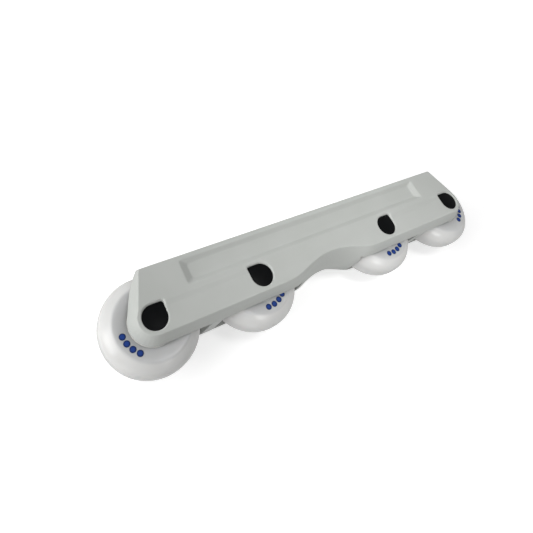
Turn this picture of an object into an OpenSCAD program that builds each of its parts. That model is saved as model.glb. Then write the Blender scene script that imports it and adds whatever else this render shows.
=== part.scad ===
// Inline skate frame with four wheels in line.
// X runs along the frame, Z up to the boot, and the ground is z = 0.
// The axle heads are on the -Y side and the axle screws on the +Y side.

/* [Wheelbase] */
// Distance between the two axles of each outer pair
pair_gap = 72; // [70:1:80]
// Distance between the two middle axles
middle_gap = 112; // [104:1:120]

/* [Wheel] */
// Wheel diameter
wheel_d = 60; // [56:1:62]
// Width of the wheel between its side faces
wheel_w = 23.4; // [22:0.2:23.6]
// Radius at which the flat side turns into the tread
side_r = 22.3; // [20:0.1:24]
// Squareness of the tread, where 2 is a round one
tread_power = 3.1; // [2:0.1:6]
// Outer radius of the core at its sides
core_r = 14.5; // [13.5:0.5:17]
// Depth of the shoulder in the core that the bearings stop against
core_shoulder = 1.8; // [1:0.1:2.4]
// Outer radius of the core's anchoring rim inside the tyre
core_rim_r = 19; // [17.5:0.5:21]
// Width of the core's anchoring rim
core_rim_w = 7; // [5:0.5:9]
// Gap between a wheel and the bay that it runs in
wheel_gap = 1.9; // [1.6:0.1:2.6]

/* [Bearings] */
// Outer diameter of a bearing
bearing_od = 22; // [21:0.5:24]
// Width of a bearing
bearing_w = 7; // [6.4:0.1:7.2]
// Diameter of the circle that the ball centres run on
pitch_d = 15; // [14.6:0.1:15.4]
// Ball diameter
ball_d = 3.9; // [3.6:0.05:4]
// Number of balls in a bearing
ball_count = 7; // [6:1:8]
// Depth of the ball groove in a ring
groove_depth = 0.5; // [0.3:0.05:0.7]
// Thickness of a bearing shield
shield_t = 0.4; // [0.3:0.05:0.6]
// How far the shields lie below the faces of a bearing
shield_inset = 0.25; // [0.15:0.05:0.4]
// Depth of the seat that holds a shield in the outer ring
shield_seat = 0.45; // [0.3:0.05:0.6]
// Length of the spacer between the bearings of a wheel
spacer_len = 10; // [9:0.5:11]
// Outer diameter of the spacer
spacer_od = 11; // [10:0.2:12]

/* [Frame] */
// Width across the lower side faces, where the axle heads are
frame_w = 43.1; // [40:0.1:48]
// Width between the inner faces of the walls
inner_w = 26; // [25:0.5:28]
// Height of the boot deck above the axles
deck_h = 31; // [30:0.5:36]
// Height of the top edge of the side panel above the axles
panel_h = 29; // [27:0.5:30]
// Half width of the flat boot deck
deck_half_w = 15.5; // [14.5:0.5:17]
// How far inboard of the end axle the top corner lies
corner_in = 0.5; // [-2:0.5:6]
// Radius of the top corners
corner_r = 1.5; // [1:0.25:3]
// Radius of the side panel's edge round the end axles
end_r = 9.5; // [9:0.1:11]
// How much lower the sloped underside lies in the middle than at the panel faces
edge_grow = 9.4; // [8:0.2:10.4]
// Roundness of the slope, where 1 is straight and 2 is an ellipse
edge_power = 1.2; // [1.1:0.1:2]
// How far the upper panel stands proud of the lower belt
belt_step = 0.7; // [0.3:0.1:1]
// Height above the axles at which the belt starts to run out
belt_low = 3.6; // [2:0.2:6]
// Height over which the belt runs out into the panel
belt_run = 3; // [2:0.5:5]
// The same height between the two middle axles, where the belt fades into the panel
belt_fade = 10; // [8:0.5:12]

/* [Grind arch] */
// Radius of the arch at the panel face
arch_r = 56; // [50:1:62]
// Height of the arch's crown below the axles at the panel face
arch_top = 1.9; // [1:0.1:3]
// How much lower the arch lies in the middle than at the panel faces
arch_grow = 7; // [6:0.2:8]
// Radius of the flared ends of the arch
flare_r = 104; // [96:1:112]
// Height of the flare's crown below the axles at the panel face
flare_top = 3.5; // [2.5:0.1:5]
// How much lower the flare lies in the middle than at the panel faces
flare_grow = 13.4; // [12:0.2:15]

/* [Side recess] */
// Half length of the long recess in each upper panel
recess_half = 103; // [90:1:110]
// Lower edge of the recess above the axles
recess_low = 10.3; // [9:0.1:13]
// Upper edge of the recess above the axles
recess_high = 26.2; // [24:0.2:27]
// Depth of the recess
recess_depth = 2.2; // [1.4:0.1:2.6]
// Run of the sloped ends of the recess
recess_end_run = 4.8; // [3:0.2:7]
// Run of the sloped upper wall of the recess
recess_top_run = 3; // [2:0.1:4]
// Run of the sloped lower wall of the recess
recess_low_run = 3; // [2:0.5:5]
// Radius of the recess corners
recess_corner = 1.2; // [1:0.2:2]

/* [Deck] */
// Length of the window in the deck above each wheel
window_len = 30; // [24:1:34]
// Radius of the window corners
window_corner = 4; // [2:0.5:6]
// Thickness of the deck at the boot bolts
bolt_seat = 9; // [7:0.5:11]
// Diameter of the boot bolt holes
bolt_hole_d = 6.6; // [6:0.1:7]
// Depth of the boot bolt holes
bolt_depth = 24; // [20:0.5:26]
// Width of the slot for the nut of a boot bolt
nut_w = 10.2; // [10:0.1:11]
// Height of that slot
nut_t = 5.4; // [5:0.1:6]
// Number of pockets along the middle block
pocket_rows = 3; // [2:1:4]
// Width of each pocket in the middle block
pocket_w = 11; // [8:0.5:12]
// Thickness of the ribs between the pockets
rib_t = 3; // [2:0.5:4]
// Least thickness left between the pockets and the wheel bays
pocket_wall = 3; // [2:0.5:5]
// Thickness left between the pockets and the arch in the middle
pocket_floor = 7; // [5:0.5:10]
// Radius of the pocket corners
pocket_corner = 2; // [1:0.5:3]

/* [Axles] */
// Axle diameter
axle_d = 8; // [7.5:0.1:8.5]
// Radius of the round part of an axle head
head_r = 7.42; // [7:0.1:8]
// Radius of the pointed corner of an axle head
head_corner = 1.2; // [0.8:0.1:3]
// Thickness of an axle head
head_t = 3.8; // [3:0.1:4.4]
// How far a head lies below the face round it
head_sink = 0.2; // [0:0.05:0.6]
// Height of the dome on heads and screws
dome = 0.45; // [0.2:0.05:0.8]
// Axle screw diameter
screw_d = 5; // [4:0.1:5.6]
// Axle screw head diameter
screw_head_d = 12; // [10:0.2:13.5]
// Thickness of an axle screw head
screw_head_t = 3; // [2.4:0.1:4]
// Width across the flats of the screw's hex socket
hex_flats = 4; // [3:0.5:5]
// Depth of the screw's hex socket
hex_depth = 2; // [1.4:0.1:2.2]
// Depth of the threaded hole in an axle
thread_depth = 14; // [10:0.5:18]
// Room left below the end of the screw in that hole
thread_spare = 1.5; // [1:0.25:3]
// Gap between the end of the axle and the screw head
clamp_gap = 0.8; // [0.3:0.1:1.5]
// Radius of the pads round the axles on the inner wall faces
pad_r = 6; // [5.2:0.1:6.2]

/* [Clearances] */
// Clearance round an axle in a bore
bore_gap = 0.05; // [0.02:0.01:0.1]
// Clearance round a head in its seat
head_gap = 0.15; // [0.1:0.05:0.3]
// Clearance between pieces that are pressed or moulded together
fit_gap = 0.02; // [0.01:0.01:0.05]
// Clearance of the balls in their grooves and cage
ball_gap = 0.1; // [0.05:0.01:0.15]
// Clearance of a cage from the rings
cage_gap = 0.5; // [0.3:0.05:0.7]
// Clearance of the shields from the inner ring and from the cage
shield_gap = 0.25; // [0.2:0.05:0.4]

/* [Hidden] */
$fn = 96;
// Facets of the rounds that a hull joins, of the balls and of the shallow domes
HULL_FN = 32;
BALL_FN = 32;
DOME_FN = 180;
// How far a cut reaches past the face that it opens, and the same for a sloped cut
OVER = 1;
SKIM = 0.1;
// Thickness of the discs that a hull joins
DISC = 0.01;
EDGE_STEPS = 6;
TREAD_STEPS = 14;

wheel_r = wheel_d / 2;
axle_z = wheel_r;
axle_x = [
    -middle_gap / 2 - pair_gap, -middle_gap / 2,
    middle_gap / 2, middle_gap / 2 + pair_gap
];
// Side to which the pointed corner of each axle head turns
corner_side = [1, -1, 1, -1];

bay_r = wheel_r + wheel_gap;
end_x = axle_x[3];
face_y = frame_w / 2;
panel_y = face_y + belt_step;
inner_y = inner_w / 2;
rim_r = end_r + edge_grow;
deck_z = axle_z + deck_h;
corner_x = end_x - corner_in - corner_r;
arch_axis = arch_top + arch_r;
flare_axis = flare_top + flare_r;
bolt_x = (axle_x[2] + axle_x[3]) / 2;
block_half = middle_gap / 2 - bay_r;

hub_y = spacer_len / 2 + bearing_w;
ball_y = (spacer_len + bearing_w) / 2;
ball_r = ball_d / 2;
groove_r = ball_r + ball_gap;
inner_ring_r = pitch_d / 2 - ball_r + groove_depth;
outer_ring_r = pitch_d / 2 + ball_r - groove_depth;
shield_seat_r = outer_ring_r + shield_seat;
shield_inner_r = inner_ring_r + shield_gap;
cage_half_w = bearing_w / 2 - shield_inset - shield_t - shield_gap;
core_bore_r = bearing_od / 2 - core_shoulder;
socket_y = face_y - head_sink - screw_head_t;
axle_end_y = socket_y - clamp_gap;
head_floor_y = face_y - head_sink - head_t;

// Children drawn in X and Z, extruded along -Y from y = from_y
module toward_front(from_y, len) {
    translate([0, from_y, 0]) rotate([90, 0, 0]) linear_extrude(len) children();
}

// A round bar along Y, centred on y = 0
module bar_y(r, len) {
    rotate([90, 0, 0]) cylinder(h = len, r = r, center = true);
}

// A profile of radius and width, turned round the Y axis
module turned() {
    rotate([90, 0, 0]) rotate_extrude() children();
}

// The same piece on both sides of the wheel's middle plane
module both_sides() {
    children();
    mirror([0, 1, 0]) children();
}

module at_axle(i) {
    translate([axle_x[i], 0, axle_z]) children();
}

module rounded_box(size, r) {
    linear_extrude(size[2]) union() {
        square([size[0] - 2 * r, size[1]], center = true);
        square([size[0], size[1] - 2 * r], center = true);
        for (sx = [-1, 1], sy = [-1, 1])
            translate([sx * (size[0] / 2 - r), sy * (size[1] / 2 - r)]) circle(r);
    }
}

// Slope of the underside from a panel face to the middle: the distance from the middle
// at a given step, and the share of the growth that is reached there
function slope_y(i) = panel_y * pow(cos(90 * i / EDGE_STEPS), 2 / edge_power);
function slope_share(i) = pow(sin(90 * i / EDGE_STEPS), 2 / edge_power);

// The whole underside across the frame, from one panel face to the other, about an axis:
// grow is below zero where the slope grows towards that axis
function underside(r, grow) = concat(
    [for (i = [0:EDGE_STEPS]) [r + grow * slope_share(i), slope_y(i)]],
    [for (i = [EDGE_STEPS - 1:-1:0]) [r + grow * slope_share(i), -slope_y(i)]]
);

// Height of the lower edges on the inner faces of the walls
inner_low = axle_z - end_r - edge_grow
    * lookup(inner_y, [for (i = [0:EDGE_STEPS]) [slope_y(i), slope_share(i)]]);

// The frame before anything is cut out of it
module blank() {
    hull() for (sx = [-1, 1]) {
        translate([sx * end_x, 0, axle_z]) rotate([90, 0, 0]) rotate_extrude($fn = HULL_FN)
            polygon(concat([[0, panel_y]], underside(end_r, edge_grow), [[0, -panel_y]]));
        translate([sx * corner_x, 0, axle_z + panel_h - corner_r]) rotate([90, 0, 0])
            cylinder(h = 2 * panel_y, r = corner_r, center = true, $fn = HULL_FN);
        translate([sx * corner_x, 0, deck_z - corner_r]) rotate([90, 0, 0])
            cylinder(h = 2 * deck_half_w, r = corner_r, center = true, $fn = HULL_FN);
    }
}

// What an arch of radius r about a low axis takes out of the frame
module arch_cut(r, below, grow) {
    lead = r + OVER;
    far = panel_y + OVER;
    translate([0, 0, axle_z - below]) turned()
        polygon(concat([[0, far], [lead, far]], underside(r, -grow), [[lead, -far], [0, -far]]));
}

// A wheel's own room between the walls, open below. The middle block ends in an arc round
// its wheel, so on that side the room has no straight lower part.
module bay(i) {
    rear = i == 2 ? 0 : bay_r;
    front = i == 1 ? 0 : bay_r;
    bar_y(bay_r, inner_w);
    translate([-rear, -inner_y, -2 * bay_r]) cube([rear + front, inner_w, 2 * bay_r]);
}

// Between the walls nothing lies lower than their own inner edges
module level_cut() {
    translate([-end_x, -inner_y, -OVER]) cube([2 * end_x, inner_w, inner_low + OVER]);
}

// The lower belt lies a little deeper than the panel above it: a length of the cut that
// runs out into the panel over the given height
module belt_cut(from_x, to_x, run) {
    high = axle_z + belt_low + belt_run;
    far = panel_y + OVER;
    translate([from_x, 0, 0]) rotate([90, 0, 90]) linear_extrude(to_x - from_x)
        polygon([
            [face_y, -OVER], [face_y, high - run],
            [far, high - run + run * (far - face_y) / belt_step], [far, -OVER]
        ]);
}

// One level of the sloped recess: four corner discs at depth d
module recess_ring(d) {
    s = d / recess_depth;
    x = recess_half - recess_end_run * s - recess_corner;
    low = axle_z + recess_low + recess_low_run * s + recess_corner;
    high = axle_z + recess_high - recess_top_run * s - recess_corner;
    for (sx = [-1, 1], z = [low, high])
        translate([sx * x, panel_y - d, z]) rotate([-90, 0, 0])
            cylinder(h = DISC, r = recess_corner, $fn = HULL_FN);
}

module recess_cut() {
    hull() {
        recess_ring(recess_depth);
        recess_ring(-SKIM);
    }
}

// Cored pockets in the middle block, open to the boot, spaced in whole tenths
module pockets() {
    pitch = floor(10 * (2 * (block_half - pocket_wall) + rib_t) / pocket_rows) / 10;
    floor_z = axle_z - arch_top - arch_grow + pocket_floor;
    for (i = [0:pocket_rows - 1], sy = [-1, 1])
        translate([(i - (pocket_rows - 1) / 2) * pitch, sy * (pocket_w + rib_t) / 2, floor_z])
            rounded_box([pitch - rib_t, pocket_w, deck_z - floor_z + OVER], pocket_corner);
}

// Circle with one square corner on the given side, which keeps a head from turning
module teardrop(r, corner, side) {
    flat = r - corner;
    circle(r);
    translate([side < 0 ? -r : 0, 0]) square([r, flat]);
    translate([side < 0 ? -flat : 0, 0]) square([flat, r]);
    translate([side * flat, flat]) circle(corner);
}

module head_seat(i) {
    at_axle(i) {
        toward_front(-head_floor_y, head_t + head_sink + belt_step + OVER)
            teardrop(head_r + head_gap, head_corner + head_gap, corner_side[i]);
        translate([0, socket_y, 0]) rotate([-90, 0, 0])
            cylinder(
                h = screw_head_t + head_sink + belt_step + OVER,
                r = screw_head_d / 2 + head_gap
            );
        bar_y(axle_d / 2 + bore_gap, 2 * panel_y);
    }
}

// Hole for a boot bolt, and the slot that its nut slides into from the end wheel's bay
module boot_bolt_cut() {
    translate([0, 0, deck_z - bolt_depth]) cylinder(h = bolt_depth + OVER, r = bolt_hole_d / 2);
    translate([-nut_w / sqrt(3), -nut_w / 2, deck_z - bolt_seat - nut_t])
        cube([nut_w / sqrt(3) + pair_gap / 2, nut_w, nut_t]);
}

module frame_body() {
    end = end_x + rim_r + OVER;
    color([0.76, 0.77, 0.76]) difference() {
        union() {
            difference() {
                blank();
                for (i = [0:3]) at_axle(i) {
                    bay(i);
                    rounded_box([window_len, inner_w, deck_h + OVER], window_corner);
                }
                level_cut();
                arch_cut(arch_r, arch_axis, arch_grow);
                arch_cut(flare_r, flare_axis, flare_grow);
                both_sides() {
                    belt_cut(-end, end, belt_fade);
                    belt_cut(-end, axle_x[1], belt_run);
                    belt_cut(axle_x[2], end, belt_run);
                    recess_cut();
                }
                pockets();
            }
            for (i = [0:3]) at_axle(i) both_sides()
                translate([0, hub_y, 0]) rotate([-90, 0, 0])
                    cylinder(h = inner_y - hub_y + OVER, r = pad_r);
        }
        for (i = [0:3]) head_seat(i);
        for (s = [0, 1]) mirror([s, 0, 0]) translate([bolt_x, 0, 0]) boot_bolt_cut();
    }
}

// Tread profile: radius at a distance y from the middle plane
function tread_r(y) = wheel_r - (wheel_r - side_r) * pow(abs(y) / (wheel_w / 2), tread_power);

module core_outline(grow) {
    square([core_r + grow, wheel_w / 2 + grow]);
    square([core_rim_r + grow, core_rim_w / 2 + grow]);
}

module tyre() {
    half = [for (i = [-TREAD_STEPS:TREAD_STEPS]) wheel_w / 2 * sin(90 * i / TREAD_STEPS)];
    color([0.93, 0.93, 0.9]) turned() difference() {
        polygon(concat(
            [[core_r - OVER, -wheel_w / 2]],
            [for (y = half) [tread_r(y), y]],
            [[core_r - OVER, wheel_w / 2]]
        ));
        core_outline(fit_gap);
        mirror([0, 1, 0]) core_outline(fit_gap);
    }
}

module core() {
    color([0.9, 0.9, 0.88]) turned() difference() {
        union() {
            core_outline(0);
            mirror([0, 1, 0]) core_outline(0);
        }
        translate([0, -wheel_w]) square([core_bore_r, 2 * wheel_w]);
        for (s = [0, 1]) mirror([0, s, 0])
            translate([0, spacer_len / 2]) square([bearing_od / 2 + fit_gap, wheel_w]);
    }
}

module ring_section(inner_r, outer_r) {
    difference() {
        translate([inner_r, spacer_len / 2]) square([outer_r - inner_r, bearing_w]);
        translate([pitch_d / 2, ball_y]) circle(groove_r);
    }
}

module outer_rings() {
    seat = shield_inset + shield_t + fit_gap;
    color([0.72, 0.73, 0.75]) both_sides() turned() mirror([0, 1, 0]) difference() {
        ring_section(outer_ring_r, bearing_od / 2);
        translate([0, spacer_len / 2 - OVER]) square([shield_seat_r, OVER + seat]);
        translate([0, hub_y - seat]) square([shield_seat_r, OVER + seat]);
    }
}

module inner_rings() {
    color([0.72, 0.73, 0.75]) both_sides() turned() mirror([0, 1, 0])
        ring_section(axle_d / 2 + fit_gap, inner_ring_r);
}

module shields() {
    color([0.6, 0.6, 0.62]) both_sides() turned() mirror([0, 1, 0])
        for (y = [spacer_len / 2 + shield_inset, hub_y - shield_inset - shield_t])
            translate([shield_inner_r, y])
                square([shield_seat_r - fit_gap - shield_inner_r, shield_t]);
}

// The child, drawn along X, at each ball of one bearing
module each_ball() {
    translate([0, ball_y, 0])
        for (k = [0:ball_count - 1]) rotate([0, 360 * k / ball_count, 0]) children();
}

module balls() {
    color([0.8, 0.8, 0.82]) both_sides() each_ball()
        translate([pitch_d / 2, 0, 0]) sphere(ball_r, $fn = BALL_FN);
}

module cages() {
    inner = inner_ring_r + cage_gap;
    outer = outer_ring_r - cage_gap;
    color([0.75, 0.65, 0.4]) both_sides() difference() {
        turned() mirror([0, 1, 0])
            translate([inner, ball_y - cage_half_w]) square([outer - inner, 2 * cage_half_w]);
        each_ball() translate([inner - cage_gap, 0, 0]) rotate([0, 90, 0])
            cylinder(h = outer - inner + 2 * cage_gap, r = groove_r);
    }
}

module spacer() {
    color([0.6, 0.62, 0.65]) turned() difference() {
        translate([0, -spacer_len / 2]) square([spacer_od / 2, spacer_len]);
        translate([0, -spacer_len]) square([axle_d / 2 + bore_gap, 2 * spacer_len]);
    }
}

// Sphere that rounds the outer end of a head of radius r, whose top is at y = top.
// Its dome runs out at the edge of the head's seat.
module dome_ball(r, top) {
    seat_r = r + head_gap;
    ball = (seat_r * seat_r + dome * dome) / (2 * dome);
    translate([0, top - ball, 0]) rotate([90, 0, 0]) sphere(ball, $fn = DOME_FN);
}

module axle(i) {
    top = face_y - head_sink;
    color([0.05, 0.05, 0.055]) difference() {
        union() {
            intersection() {
                toward_front(-head_floor_y, head_t)
                    teardrop(head_r, head_corner, corner_side[i]);
                mirror([0, 1, 0]) dome_ball(head_r, top);
            }
            translate([0, -head_floor_y, 0]) rotate([-90, 0, 0])
                cylinder(h = head_floor_y + axle_end_y, r = axle_d / 2);
        }
        translate([0, axle_end_y - thread_depth, 0]) rotate([-90, 0, 0])
            cylinder(h = thread_depth + OVER, r = screw_d / 2 + bore_gap);
    }
}

module axle_screw() {
    top = face_y - head_sink;
    reach = thread_depth - thread_spare;
    color([0.06, 0.06, 0.065]) difference() {
        union() {
            intersection() {
                translate([0, socket_y, 0]) rotate([-90, 0, 0])
                    cylinder(h = screw_head_t, r = screw_head_d / 2);
                dome_ball(screw_head_d / 2, top);
            }
            translate([0, axle_end_y - reach, 0]) rotate([-90, 0, 0])
                cylinder(h = reach + clamp_gap + OVER, r = screw_d / 2);
        }
        translate([0, top - hex_depth, 0]) rotate([-90, 0, 0])
            cylinder(h = hex_depth + OVER, d = hex_flats / cos(30), $fn = 6);
    }
}

frame_body();
at_axle(0) tyre();  // tyre_1
at_axle(1) tyre();  // tyre_2
at_axle(2) tyre();  // tyre_3
at_axle(3) tyre();  // tyre_4
at_axle(0) core();  // core_1
at_axle(1) core();  // core_2
at_axle(2) core();  // core_3
at_axle(3) core();  // core_4
at_axle(0) outer_rings();  // outer_rings_1
at_axle(1) outer_rings();  // outer_rings_2
at_axle(2) outer_rings();  // outer_rings_3
at_axle(3) outer_rings();  // outer_rings_4
at_axle(0) shields();  // shields_1
at_axle(1) shields();  // shields_2
at_axle(2) shields();  // shields_3
at_axle(3) shields();  // shields_4
at_axle(0) balls();  // balls_1
at_axle(1) balls();  // balls_2
at_axle(2) balls();  // balls_3
at_axle(3) balls();  // balls_4
at_axle(0) cages();  // cages_1
at_axle(1) cages();  // cages_2
at_axle(2) cages();  // cages_3
at_axle(3) cages();  // cages_4
at_axle(0) inner_rings();  // inner_rings_1
at_axle(1) inner_rings();  // inner_rings_2
at_axle(2) inner_rings();  // inner_rings_3
at_axle(3) inner_rings();  // inner_rings_4
at_axle(0) spacer();  // spacer_1
at_axle(1) spacer();  // spacer_2
at_axle(2) spacer();  // spacer_3
at_axle(3) spacer();  // spacer_4
at_axle(0) axle(0);  // axle_1
at_axle(1) axle(1);  // axle_2
at_axle(2) axle(2);  // axle_3
at_axle(3) axle(3);  // axle_4
at_axle(0) axle_screw();  // axle_screw_1
at_axle(1) axle_screw();  // axle_screw_2
at_axle(2) axle_screw();  // axle_screw_3
at_axle(3) axle_screw();  // axle_screw_4
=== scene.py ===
"""Looks of an inline skate frame with four wheels, lying on its side on a white table."""

import math

import bmesh
import bpy
import numpy as np
from mathutils import Matrix, Vector


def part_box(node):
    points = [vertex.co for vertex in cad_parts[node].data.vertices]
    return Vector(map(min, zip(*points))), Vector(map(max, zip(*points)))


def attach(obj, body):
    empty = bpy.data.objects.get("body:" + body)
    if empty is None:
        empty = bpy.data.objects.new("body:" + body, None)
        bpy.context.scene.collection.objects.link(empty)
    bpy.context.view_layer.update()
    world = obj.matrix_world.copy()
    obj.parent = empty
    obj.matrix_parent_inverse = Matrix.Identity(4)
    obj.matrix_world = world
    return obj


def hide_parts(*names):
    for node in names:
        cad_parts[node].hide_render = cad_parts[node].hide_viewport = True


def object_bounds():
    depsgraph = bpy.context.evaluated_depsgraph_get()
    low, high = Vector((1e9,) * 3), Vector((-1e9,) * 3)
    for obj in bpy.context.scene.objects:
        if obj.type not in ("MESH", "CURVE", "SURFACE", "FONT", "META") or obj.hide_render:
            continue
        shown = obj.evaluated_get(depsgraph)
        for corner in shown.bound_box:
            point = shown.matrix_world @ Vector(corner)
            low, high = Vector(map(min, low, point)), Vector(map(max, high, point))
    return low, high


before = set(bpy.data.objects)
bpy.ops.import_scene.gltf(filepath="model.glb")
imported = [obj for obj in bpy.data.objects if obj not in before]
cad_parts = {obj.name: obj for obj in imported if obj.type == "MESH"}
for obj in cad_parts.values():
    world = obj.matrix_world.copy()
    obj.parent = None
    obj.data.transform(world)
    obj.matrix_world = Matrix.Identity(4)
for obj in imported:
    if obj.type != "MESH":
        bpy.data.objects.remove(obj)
cad_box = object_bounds()

MM = 0.001
WHEELS = (1, 2, 3, 4)

# Moulded pieces: voxel of the remesh, rounds of smoothing and share of faces kept
FRAME_SOFTNESS = 0.32 * MM, 3, 0.16
AXLE_SOFTNESS = 0.15 * MM, 3, 0.25
# Strength of a round of smoothing, and how much larger faces count in the shading, 50 being even
SMOOTHING = 0.5
LARGE_FACE_WEIGHT = 60
# Points that lie closer than this, in metres, are one
WELD = 1e-7

# Seats of the heads and screws, as in the CAD, and the countersink at their edges
HEAD_SINK = 0.2 * MM
HEAD_CORNER = 1.2 * MM
SEAT_GAP = 0.15 * MM
SEAT_EDGE = 0.3 * MM
CUT_PAST_FACE = 3 * SEAT_EDGE
# The side that each head's square corner is on, where 1 is +X
CORNER_SIDE = {1: 1, 2: -1, 3: 1, 4: -1}

# Underside of the frame, as in the CAD: each curve is (radius at the panel face, how far its
# top lies below the axles, how much it grows towards the middle)
AXLE_Z = 30 * MM
PANEL_Y, INNER_Y = 22.25 * MM, 13 * MM
SLOPE_POWER = 1.2
SLOPE_LOW, SLOPE_GROW = 9.5 * MM, 9.4 * MM
ARCHES = ((56 * MM, 1.9 * MM, 7 * MM), (104 * MM, 3.5 * MM, 13.4 * MM))
# How softly those curves run into each other, and how far up the walls that reaches
ARCH_BLEND = 1.0 * MM
ARCH_FADE = 4 * MM

# Recess of each side, as in the CAD, and the rounds of smoothing that soften its walls
RECESS_HALF, RECESS_DEPTH = 103 * MM, 2.2 * MM
RECESS_LOW, RECESS_HIGH = 10.3 * MM, 26.2 * MM
RECESS_RIM = 1.6 * MM
RECESS_ROUNDS = 18

# Wheel profile: the side's radius, how far the side lies inside the CAD's, and the round edge
# between side and tread
SIDE_R = 22.3 * MM
SIDE_SINK = 0.03 * MM
SIDE_EDGE, SIDE_EDGE_DEPTH = 0.9 * MM, 0.3 * MM
SIDE_EDGE_STEPS = 6
# The core's wall round the bearings at the wheel's side, and the tyre's lip against it
CORE_WALL, CORE_LIP = 3.5 * MM, 0.4 * MM
# How far in from the side the painted shade on the wheel's flat side begins, and where it is full;
# the side is painted greyer for the shade of the frame that overhangs it
SIDE_SHADE_FROM, SIDE_SHADE_FULL = 0.8 * MM, 0.06 * MM
TREAD_POWER = 3.1
TREAD_STEPS = 40
WHEEL_TURN_STEPS = 160

# Printed dots on the wheels: where the first one lies, in degrees from +X towards +Z, how many
# degrees lie between two, and their sizes
DOT_START = {1: 185, 2: 267, 3: 260, 4: 301}
DOT_COUNT = 4
DOT_SPACING = 14
DOT_RING_R = 18.6 * MM
DOT_R = 2.0 * MM
DOT_CORE_R = 1.2 * MM
DOT_STEPS = 32
INK_T = 0.02 * MM

# Camera
CAMERA_AT = Vector((-189.2, -264.5, -17.6)) * MM
CAMERA_LOOK = Vector((0.4504, 0.8351, 0.3158))
CAMERA_UP = Vector((0.2657, -0.4631, 0.8456))
PHOTO_SIDE = 533
FOCAL_PX = 445.9
CENTRE_PX = (228.8, 215.3)
SENSOR = 36
CLIP_NEAR, CLIP_FAR = 0.01, 20

# Light: what the room gives from above the table and from below it, how far past the horizon
# the one fades into the other, and the white that the camera sees
ROOM_LIGHT = 0.35
TABLE_LIGHT = 0.6
HORIZON = 0.3
SEEN_WHITE = 1.0
# Soft lamps, as (name, place, aim, width, share of plain white that it would give at its aim
# with an open beam, angle of its beam), where 180 degrees is an open beam
LAMPS = (
    ("window", (-1.44, -0.64, 0.19), (0, 0, 0.03), 0.9, 0.45, 180),
    ("window_edge", (-1.55, -0.3, 0.3), (0, 0, 0.03), 0.9, 0.18, 180),
    ("wall", (-0.96, -1.04, 0.75), (0, 0, 0.03), 0.9, 0.19, 180),
    ("far_wall", (-0.32, -0.56, 1.47), (0, 0, 0.03), 0.9, 0.086, 180),
    ("ceiling", (0.045, -0.55, 0), (0.045, -0.02, 0.03), 0.15, 0.0175, 44),
    ("near_side", (0.045, -0.4, -0.42), (0.045, -0.02, 0.02), 0.2, 0.0164, 44),
)

# Table: its half width, the gap to the frame's far side, its colour, and the distances from the
# origin between which its own glow rises, with the glow at each
TABLE_REACH = 3.0
TABLE_GAP = 0.25 * MM
TABLE_COLOUR = (0.95, 0.95, 0.95, 1)
TABLE_NEAR, TABLE_FAR = 0.18, 0.5
TABLE_WHITE_NEAR, TABLE_WHITE_FAR = 0.36, 0.68

# The range that most of a noise's values lie in
NOISE_LOW, NOISE_HIGH = 0.3, 0.7


def material(name):
    """A new node material: (material, node tree, its Principled shader)."""
    made = bpy.data.materials.new(name)
    made.use_nodes = True
    tree = made.node_tree
    shader = next(n for n in tree.nodes if n.type == "BSDF_PRINCIPLED")
    return made, tree, shader


def node(tree, kind, values=(), **settings):
    """A new node of a kind, with settings as its properties and values as {socket: value}."""
    made = tree.nodes.new(kind)
    for key, value in settings.items():
        setattr(made, key, value)
    for key, value in dict(values).items():
        made.inputs[key].default_value = value
    return made


def place(tree):
    """The place on the object, for a texture."""
    return node(tree, "ShaderNodeTexCoord").outputs["Object"]


def noise(tree, scale, detail=2.0, roughness=0.5):
    made = node(
        tree, "ShaderNodeTexNoise", {"Scale": scale, "Detail": detail, "Roughness": roughness}
    )
    tree.links.new(place(tree), made.inputs["Vector"])
    return made.outputs["Fac"]


def mapped(tree, value, low, high, to_low, to_high):
    """value, spread from low..high to to_low..to_high."""
    made = node(
        tree,
        "ShaderNodeMapRange",
        {"From Min": low, "From Max": high, "To Min": to_low, "To Max": to_high},
    )
    tree.links.new(value, made.inputs["Value"])
    return made.outputs["Result"]


def spread(tree, value, to_low, to_high):
    """A noise's usual range, spread to to_low..to_high."""
    return mapped(tree, value, NOISE_LOW, NOISE_HIGH, to_low, to_high)


def blend_colour(tree, factor, first, second):
    made = node(tree, "ShaderNodeMix", data_type="RGBA")
    made.inputs["A"].default_value = (*first, 1)
    made.inputs["B"].default_value = (*second, 1)
    tree.links.new(factor, made.inputs["Factor"])
    return made.outputs["Result"]


def bump(tree, shader, height, distance, strength=1.0, over=None):
    """Fine relief on a shader, over another one where that is given."""
    made = node(tree, "ShaderNodeBump", {"Strength": strength, "Distance": distance})
    tree.links.new(height, made.inputs["Height"])
    if over is not None:
        tree.links.new(over, made.inputs["Normal"])
    tree.links.new(made.outputs["Normal"], shader.inputs["Normal"])
    return made.outputs["Normal"]


def link(tree, output, shader, name):
    tree.links.new(output, shader.inputs[name])


def frame_plastic():
    """Light grey moulded plastic with a fine satin grain."""
    made, tree, shader = material("frame_plastic_look")
    cloud = spread(tree, noise(tree, 28, 3), 0, 1)
    colour = blend_colour(tree, cloud, (0.475, 0.492, 0.468), (0.505, 0.52, 0.5))
    link(tree, colour, shader, "Base Color")
    grain = noise(tree, 2600, 2)
    link(tree, spread(tree, noise(tree, 900, 2), 0.38, 0.48), shader, "Roughness")
    shader.inputs["Specular IOR Level"].default_value = 0.4
    ripple = bump(tree, shader, noise(tree, 160, 2), 0.03 * MM, 0.5)
    bump(tree, shader, grain, 0.02 * MM, 0.35, over=ripple)
    return made


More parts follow.
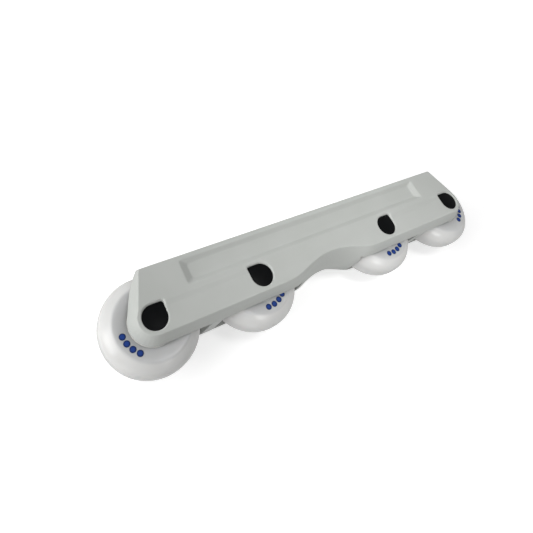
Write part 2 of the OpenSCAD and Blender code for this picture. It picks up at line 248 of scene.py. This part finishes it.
def urethane():
    """White cast urethane: glossy, and light goes a little way into it. Its flat side is painted
    greyer as painted shade from the frame above it, and its whiter round edge then shows as a painted
    highlight.
    """
    made, tree, shader = material("urethane_look")
    cloud = spread(tree, noise(tree, 55, 3), 0, 1)
    tread = blend_colour(tree, cloud, (0.66, 0.66, 0.65), (0.7, 0.7, 0.69))
    # Painted shade: a greyer copy of the tread's white for the flat side, standing in for the shade
    # that the frame casts on it
    side = blend_colour(tree, cloud, (0.56, 0.565, 0.565), (0.595, 0.6, 0.6))
    way = node(tree, "ShaderNodeSeparateXYZ")
    tree.links.new(place(tree), way.inputs[0])
    across = node(tree, "ShaderNodeMath", operation="ABSOLUTE")
    tree.links.new(way.outputs["Y"], across.inputs[0])
    side_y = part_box("tyre_1")[1].y
    # Mask of the painted shade: full on the flat side, fading over its round edge into the whiter
    # tread, which leaves a painted highlight there
    painted_side_shade = mapped(tree, across.outputs[0], side_y - SIDE_SHADE_FROM, side_y - SIDE_SHADE_FULL, 0, 1)
    whole = node(tree, "ShaderNodeMix", data_type="RGBA")
    for output, name in ((painted_side_shade, "Factor"), (tread, "A"), (side, "B")):
        tree.links.new(output, whole.inputs[name])
    link(tree, whole.outputs["Result"], shader, "Base Color")
    link(tree, spread(tree, noise(tree, 300, 2), 0.16, 0.26), shader, "Roughness")
    shader.inputs["Subsurface Weight"].default_value = 0.6
    shader.inputs["Subsurface Radius"].default_value = (1.0, 0.95, 0.9)
    shader.inputs["Subsurface Scale"].default_value = 4 * MM
    shader.inputs["Specular IOR Level"].default_value = 0.42
    bump(tree, shader, noise(tree, 220, 2), 0.04 * MM, 0.25)
    return made


def hub_plastic():
    """White moulded plastic of the cores."""
    made, tree, shader = material("hub_plastic_look")
    cloud = spread(tree, noise(tree, 60, 2), 0, 1)
    colour = blend_colour(tree, cloud, (0.76, 0.76, 0.73), (0.81, 0.81, 0.78))
    link(tree, colour, shader, "Base Color")
    shader.inputs["Roughness"].default_value = 0.32
    bump(tree, shader, noise(tree, 1500, 2), 0.01 * MM, 0.4)
    return made


def ink(name, low, high):
    """Pad-printed ink, a little uneven."""
    made, tree, shader = material(name)
    mottle = mapped(tree, noise(tree, 1800, 3), 0.35, 0.65, 0, 1)
    link(tree, blend_colour(tree, mottle, low, high), shader, "Base Color")
    shader.inputs["Roughness"].default_value = 0.4
    shader.inputs["Specular IOR Level"].default_value = 0.35
    bump(tree, shader, noise(tree, 2500, 2), 0.01 * MM, 0.3)
    return made


def black_coat():
    """Black coated metal of the axle heads and screws, smooth with faint turning marks."""
    made, tree, shader = material("black_coat_look")
    cloud = spread(tree, noise(tree, 240, 3), 0, 1)
    colour = blend_colour(tree, cloud, (0.0014, 0.0017, 0.002), (0.0024, 0.0028, 0.0034))
    link(tree, colour, shader, "Base Color")
    link(tree, spread(tree, noise(tree, 1400, 2), 0.3, 0.42), shader, "Roughness")
    shader.inputs["Specular IOR Level"].default_value = 0.1
    bump(tree, shader, noise(tree, 3000, 2), 0.01 * MM, 0.3)
    return made


def metal(name, low, high, rough_low, rough_high, scale):
    """Bare metal with a fine ground or turned finish."""
    made, tree, shader = material(name)
    cloud = spread(tree, noise(tree, 200, 3), 0, 1)
    link(tree, blend_colour(tree, cloud, low, high), shader, "Base Color")
    link(tree, spread(tree, noise(tree, scale, 2), rough_low, rough_high), shader, "Roughness")
    shader.inputs["Metallic"].default_value = 1.0
    bump(tree, shader, noise(tree, scale, 2), 0.005 * MM, 0.3)
    return made


LOOKS = {
    "frame_body": frame_plastic(),
    "tyre": urethane(),
    "core": hub_plastic(),
    "axle": black_coat(),
    "rings": metal("ring_steel_look", (0.62, 0.63, 0.65), (0.7, 0.71, 0.73), 0.16, 0.26, 2500),
    "shields": metal("shield_steel_look", (0.5, 0.5, 0.52), (0.58, 0.58, 0.6), 0.3, 0.42, 1800),
    "balls": metal("ball_steel_look", (0.68, 0.69, 0.71), (0.74, 0.75, 0.77), 0.06, 0.1, 3000),
    "cages": metal("cage_brass_look", (0.6, 0.46, 0.22), (0.68, 0.54, 0.28), 0.3, 0.4, 2200),
    "spacer": metal("spacer_metal_look", (0.6, 0.62, 0.65), (0.68, 0.69, 0.72), 0.3, 0.4, 1600),
}
LOOKS["axle_screw"] = LOOKS["axle"]
LOOKS["outer_rings"] = LOOKS["inner_rings"] = LOOKS["rings"]
INK_EDGE = ink("ink_edge_look", (0.001, 0.018, 0.105), (0.002, 0.024, 0.135))
INK_CORE = ink("ink_core_look", (0.003, 0.036, 0.22), (0.005, 0.044, 0.28))


def mesh_of(shape, name):
    """The mesh of a bmesh, which it frees."""
    mesh = bpy.data.meshes.new(name)
    shape.to_mesh(mesh)
    shape.free()
    return mesh


def placed(name, data):
    """A new object in the scene for a mesh, a light or a camera."""
    made = bpy.data.objects.new(name, data)
    bpy.context.scene.collection.objects.link(made)
    return made


def piece(name, mesh, body, looks):
    """A new object for a mesh, with its materials, riding on a CAD body."""
    made = placed(name, mesh)
    for look in looks:
        mesh.materials.append(look)
    mesh.shade_smooth()
    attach(made, body)
    return made


def teardrop(r, corner, side, steps=12):
    """Outline of a head's seat as (x, z): a circle of radius r with one squarer corner."""
    arc = [math.pi / 2 * i / steps for i in range(steps + 1)]
    middle = r - corner
    points = [
        (side * (middle + corner * math.cos(turn)), middle + corner * math.sin(turn)) for turn in arc
    ]
    for quarter in (1, 2, 3):
        turns = [turn + math.pi / 2 * quarter for turn in arc]
        points += [(side * r * math.cos(turn), r * math.sin(turn)) for turn in turns]
    return [p for p, after in zip(points, points[1:] + points[:1]) if math.dist(p, after) > WELD]


def seat_edges():
    """What a countersink takes off the edges of the seats of the heads and screws."""
    shape = bmesh.new()
    for number in WHEELS:
        at_x, at_z = axle_place(number)
        head_low, head_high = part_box(f"axle_{number}")
        screw_low, screw_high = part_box(f"axle_screw_{number}")
        head_r, screw_r = (head_high.x - head_low.x) / 2, (screw_high.x - screw_low.x) / 2
        face = screw_high.y + HEAD_SINK
        for sign in (-1, 1):
            rings = []
            for grow in (-SEAT_EDGE, CUT_PAST_FACE):
                r = (head_r if sign < 0 else screw_r) + SEAT_GAP + SEAT_EDGE + grow
                corner = HEAD_CORNER + SEAT_GAP + SEAT_EDGE + grow if sign < 0 else r
                rings.append(
                    [
                        shape.verts.new((at_x + x, sign * (face + grow), at_z + z))
                        for x, z in teardrop(r, corner, CORNER_SIDE[number])
                    ]
                )
            deep, wide = rings
            for i in range(len(deep)):
                j = (i + 1) % len(deep)
                shape.faces.new((deep[i], deep[j], wide[j], wide[i]))
            shape.faces.new(deep)
            shape.faces.new(list(reversed(wide)))
    bmesh.ops.recalc_face_normals(shape, faces=shape.faces)
    return placed("seat_edges", mesh_of(shape, "seat_edges"))


def underside(x, y):
    """Heights of the slope and of the arch's curves at each (x, y) of the frame's underside."""
    share = np.clip(1 - (np.minimum(y, PANEL_Y) / PANEL_Y) ** SLOPE_POWER, 0, 1) ** (1 / SLOPE_POWER)
    inner = (1 - (INNER_Y / PANEL_Y) ** SLOPE_POWER) ** (1 / SLOPE_POWER)
    heights = [AXLE_Z - SLOPE_LOW - SLOPE_GROW * np.minimum(share, inner)]
    for r, top, grow in ARCHES:
        reach = np.maximum((r - grow * share) ** 2 - x**2, 0)
        heights.append(AXLE_Z - top - r + np.sqrt(reach))
    return np.stack(heights)


def corners(mesh):
    """The places of a mesh's vertices, as an array with one row for each."""
    spots = np.empty(3 * len(mesh.vertices))
    mesh.vertices.foreach_get("co", spots)
    return spots.reshape(-1, 3)


def soften_recess(made):
    """Puts more smoothing on the frame's walls in and round the recesses of its sides."""
    x, y, z = np.abs(corners(made.data)).T
    near = (x < RECESS_HALF + RECESS_RIM) & (y > PANEL_Y - RECESS_DEPTH - RECESS_RIM)
    near &= (z > AXLE_Z + RECESS_LOW - RECESS_RIM) & (z < AXLE_Z + RECESS_HIGH + RECESS_RIM)
    made.vertex_groups.new(name="recess").add(np.flatnonzero(near).tolist(), 1.0, "REPLACE")
    smooth = made.modifiers.new("recess_walls", "SMOOTH")
    smooth.factor = SMOOTHING
    smooth.iterations = RECESS_ROUNDS
    smooth.vertex_group = "recess"


def blend_arch(mesh):
    """Rounds the frame's underside where the arch runs into the straight slope."""
    spots = corners(mesh)
    heights = underside(np.abs(spots[:, 0]), np.abs(spots[:, 1]))
    top = heights.max(axis=0)
    lift = ARCH_BLEND * np.log(np.exp((heights - top) / ARCH_BLEND).sum(axis=0))
    spots[:, 2] += lift * np.clip(1 - (spots[:, 2] - top) / ARCH_FADE, 0, 1)
    mesh.vertices.foreach_set("co", spots.ravel())
    mesh.update()


def worked(mesh, change):
    """The mesh with the modifiers that change(object) puts on it applied."""
    made = placed("worked", mesh)
    change(made)
    depsgraph = bpy.context.evaluated_depsgraph_get()
    result = bpy.data.meshes.new_from_object(made.evaluated_get(depsgraph))
    bpy.data.objects.remove(made)
    return result


def softened(cad_node, softness, cutter=None, reshape=None, refine=None):
    """A copy of a CAD node's mesh with softly rounded edges, as they come out of a mould.

    The cutter is taken off first, reshape(mesh) moves vertices of the smooth mesh, and
    refine(object) puts more modifiers on it before its faces are thinned out.
    """
    voxel, rounds, kept = softness
    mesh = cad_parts[cad_node].data.copy()
    shape = bmesh.new()
    shape.from_mesh(mesh)
    bmesh.ops.remove_doubles(shape, verts=shape.verts, dist=WELD)
    shape.to_mesh(mesh)
    shape.free()
    mesh.materials.clear()

    def soften(made):
        if cutter:
            cut = made.modifiers.new("cut", "BOOLEAN")
            cut.object = cutter
            cut.solver = "EXACT"
        remesh = made.modifiers.new("remesh", "REMESH")
        remesh.mode = "VOXEL"
        remesh.voxel_size = voxel
        smooth = made.modifiers.new("smooth", "SMOOTH")
        smooth.factor = SMOOTHING
        smooth.iterations = rounds

    def thin_out(made):
        if refine:
            refine(made)
        fewer = made.modifiers.new("fewer", "DECIMATE")
        fewer.ratio = kept
        weighted = made.modifiers.new("weighted", "WEIGHTED_NORMAL")
        weighted.weight = LARGE_FACE_WEIGHT

    soft = worked(mesh, soften)
    if cutter:
        bpy.data.objects.remove(cutter)
    if reshape:
        reshape(soft)
    return worked(soft, thin_out)


def tread_profile(half_w, wheel_r, core_r):
    """Half profile of the tyre as (radius, y), from the side's inner edge to the middle plane."""

    def tread_r(y):
        return wheel_r - (wheel_r - SIDE_R) * (y / half_w) ** TREAD_POWER

    side_y, edge_y = half_w - SIDE_SINK, half_w - SIDE_EDGE_DEPTH
    points = [(core_r, side_y - CORE_LIP), (core_r + CORE_LIP, side_y)]
    for i in range(SIDE_EDGE_STEPS + 1):
        t = i / SIDE_EDGE_STEPS
        a, b, c = (1 - t) ** 2, 2 * t * (1 - t), t**2
        points.append(
            (
                a * (SIDE_R - SIDE_EDGE) + b * SIDE_R + c * tread_r(edge_y),
                (a + b) * side_y + c * edge_y,
            )
        )
    first = math.asin(edge_y / half_w)
    for i in range(1, TREAD_STEPS + 1):
        y = half_w * math.sin(first * (1 - i / TREAD_STEPS))
        points.append((tread_r(y), y))
    return points


def revolved(points, at_x, at_z):
    """Mesh of a closed profile of (radius, y), turned round the Y axis through (at_x, at_z)."""
    shape = bmesh.new()
    rings = []
    for i in range(WHEEL_TURN_STEPS):
        turn = 2 * math.pi * i / WHEEL_TURN_STEPS
        rings.append(
            [
                shape.verts.new((at_x + r * math.cos(turn), y, at_z + r * math.sin(turn)))
                for r, y in points
            ]
        )
    for i, ring in enumerate(rings):
        after = rings[(i + 1) % len(rings)]
        for j in range(len(points)):
            k = (j + 1) % len(points)
            shape.faces.new((ring[j], ring[k], after[k], after[j]))
    bmesh.ops.recalc_face_normals(shape, faces=shape.faces)
    return mesh_of(shape, "revolved")


def axle_place(number):
    """Where a wheel's axis lies, as (x, z)."""
    low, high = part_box(f"tyre_{number}")
    return (low.x + high.x) / 2, (low.z + high.z) / 2


def tyre(number):
    """The cast tyre of a wheel, in place of the CAD one."""
    low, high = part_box(f"tyre_{number}")
    at_x, at_z = axle_place(number)
    half_w, wheel_r = (high.y - low.y) / 2, (high.x - low.x) / 2
    inner_low, inner_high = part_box(f"outer_rings_{number}")
    core_r = (inner_high.x - inner_low.x) / 2 + CORE_WALL
    half = tread_profile(half_w, wheel_r, core_r)
    points = half + [(r, -y) for r, y in reversed(half[:-1])]
    mesh = revolved(points, at_x, at_z)
    made = piece(f"urethane_{number}", mesh, f"wheel_{number}", [LOOKS["tyre"]])
    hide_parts(f"tyre_{number}")


def dots(number):
    """Four printed dots on the near side of a wheel, each with a lighter middle."""
    at_x, at_z = axle_place(number)
    low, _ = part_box(f"tyre_{number}")
    ground = low.y + SIDE_SINK
    around = [2 * math.pi * i / DOT_STEPS for i in range(DOT_STEPS)]
    shape = bmesh.new()
    for k in range(DOT_COUNT):
        turn = math.radians(DOT_START[number] + k * DOT_SPACING)
        x, z = at_x + DOT_RING_R * math.cos(turn), at_z + DOT_RING_R * math.sin(turn)
        back, front = ground + INK_T, ground - INK_T
        rims = [
            [shape.verts.new((x + r * math.cos(way), y, z + r * math.sin(way))) for way in around]
            for r, y in ((DOT_R, back), (DOT_R - INK_T, front), (DOT_CORE_R, front))
        ]
        for outer, inner in zip(rims, rims[1:]):
            for i in range(DOT_STEPS):
                j = (i + 1) % DOT_STEPS
                shape.faces.new((outer[i], outer[j], inner[j], inner[i]))
        core = shape.faces.new(rims[-1])
        core.material_index = 1
        shape.faces.new(list(reversed(rims[0])))
    bmesh.ops.recalc_face_normals(shape, faces=shape.faces)
    mesh = mesh_of(shape, "dots")
    piece(f"print_dots_{number}", mesh, f"wheel_{number}", [INK_EDGE, INK_CORE])


def dress():
    """Puts a look on each CAD node and makes the pieces that replace some of them."""
    for name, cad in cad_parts.items():
        kind = name.rstrip("_1234")
        cad.data.materials.clear()
        cad.data.materials.append(LOOKS[kind])
    body = piece(
        "frame_moulding",
        softened("frame_body", FRAME_SOFTNESS, seat_edges(), blend_arch, soften_recess),
        "chassis",
        [LOOKS["frame_body"]],
    )
    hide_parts("frame_body")
    for number in WHEELS:
        tyre(number)
        dots(number)
        for kind in ("axle", "axle_screw"):
            made = piece(
                f"{kind}_{number}_coated",
                softened(f"{kind}_{number}", AXLE_SOFTNESS),
                "chassis",
                [LOOKS["axle"]],
            )
            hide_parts(f"{kind}_{number}")


def white_world():
    """White all round for the camera, and the room's light from above and below for the rest."""
    world = bpy.data.worlds.new("white_room")
    bpy.context.scene.world = world
    world.use_nodes = True
    tree = world.node_tree
    tree.nodes.clear()
    background = node(tree, "ShaderNodeBackground", {"Color": (1, 1, 1, 1)})
    way = node(tree, "ShaderNodeSeparateXYZ")
    tree.links.new(node(tree, "ShaderNodeTexCoord").outputs["Generated"], way.inputs[0])
    light = mapped(tree, way.outputs["Y"], -HORIZON, HORIZON, ROOM_LIGHT, TABLE_LIGHT)
    seen = node(tree, "ShaderNodeLightPath").outputs["Is Camera Ray"]
    strength = node(tree, "ShaderNodeMix", data_type="FLOAT")
    tree.links.new(seen, strength.inputs["Factor"])
    tree.links.new(light, strength.inputs["A"])
    strength.inputs["B"].default_value = SEEN_WHITE
    tree.links.new(strength.outputs["Result"], background.inputs["Strength"])
    out = node(tree, "ShaderNodeOutputWorld")
    tree.links.new(background.outputs[0], out.inputs["Surface"])


def table_top():
    """White table under the far side of the frame, which only the camera sees, from its front."""
    y = cad_box[1].y + TABLE_GAP
    shape = bmesh.new()
    ends = ((-1, -1), (1, -1), (1, 1), (-1, 1))
    shape.faces.new([shape.verts.new((x * TABLE_REACH, y, z * TABLE_REACH)) for x, z in ends])
    mesh = mesh_of(shape, "table_top")
    top = placed("table_top", mesh)
    look, tree, shader = material("table_look")
    shader.inputs["Base Color"].default_value = TABLE_COLOUR
    shader.inputs["Roughness"].default_value = 1.0
    shader.inputs["Specular IOR Level"].default_value = 0.0
    shader.inputs["Emission Color"].default_value = (1, 1, 1, 1)
    away = node(tree, "ShaderNodeVectorMath", operation="LENGTH")
    tree.links.new(place(tree), away.inputs[0])
    white = mapped(
        tree, away.outputs["Value"], TABLE_NEAR, TABLE_FAR, TABLE_WHITE_NEAR, TABLE_WHITE_FAR
    )
    link(tree, white, shader, "Emission Strength")
    facing = node(tree, "ShaderNodeNewGeometry").outputs["Backfacing"]
    clear = node(tree, "ShaderNodeBsdfTransparent")
    mix = node(tree, "ShaderNodeMixShader")
    tree.links.new(facing, mix.inputs[0])
    tree.links.new(shader.outputs[0], mix.inputs[1])
    tree.links.new(clear.outputs[0], mix.inputs[2])
    out = next(n for n in tree.nodes if n.type == "OUTPUT_MATERIAL")
    tree.links.new(mix.outputs[0], out.inputs["Surface"])
    mesh.materials.append(look)
    top.visible_diffuse = top.visible_glossy = top.visible_transmission = top.visible_shadow = False


def lamp(name, at, aim, size, irradiance, beam):
    """A square soft light, whose irradiance at aim is given as a share of plain white.

    That holds for an open beam of 180 degrees. A narrower one gathers the same light.
    """
    data = bpy.data.lights.new(name, "AREA")
    data.size = size
    way = Vector(at) - Vector(aim)
    # A power gives that power / (pi * distance ** 2), and plain white takes pi
    data.energy = irradiance * math.pi * math.pi * way.length_squared
    data.spread = math.radians(beam)
    made = placed(name, data)
    made.location = at
    made.rotation_mode = "QUATERNION"
    made.rotation_quaternion = way.to_track_quat("Z", "Y")


def camera():
    """The photo's camera."""
    data = bpy.data.cameras.new("camera")
    made = placed("camera", data)
    look = CAMERA_LOOK.normalized()
    right = look.cross(CAMERA_UP).normalized()
    up = right.cross(look)
    turned = Matrix((right, up, -look)).transposed().to_4x4()
    made.matrix_world = Matrix.Translation(CAMERA_AT) @ turned
    data.sensor_width = SENSOR
    data.lens = FOCAL_PX / PHOTO_SIDE * SENSOR
    data.shift_x = (PHOTO_SIDE / 2 - CENTRE_PX[0]) / PHOTO_SIDE
    data.shift_y = (CENTRE_PX[1] - PHOTO_SIDE / 2) / PHOTO_SIDE
    data.clip_start = CLIP_NEAR
    data.clip_end = CLIP_FAR
    bpy.context.scene.camera = made


dress()
white_world()
table_top()
for values in LAMPS:
    lamp(*values)
camera()
bpy.context.scene.view_settings.view_transform = "Standard"
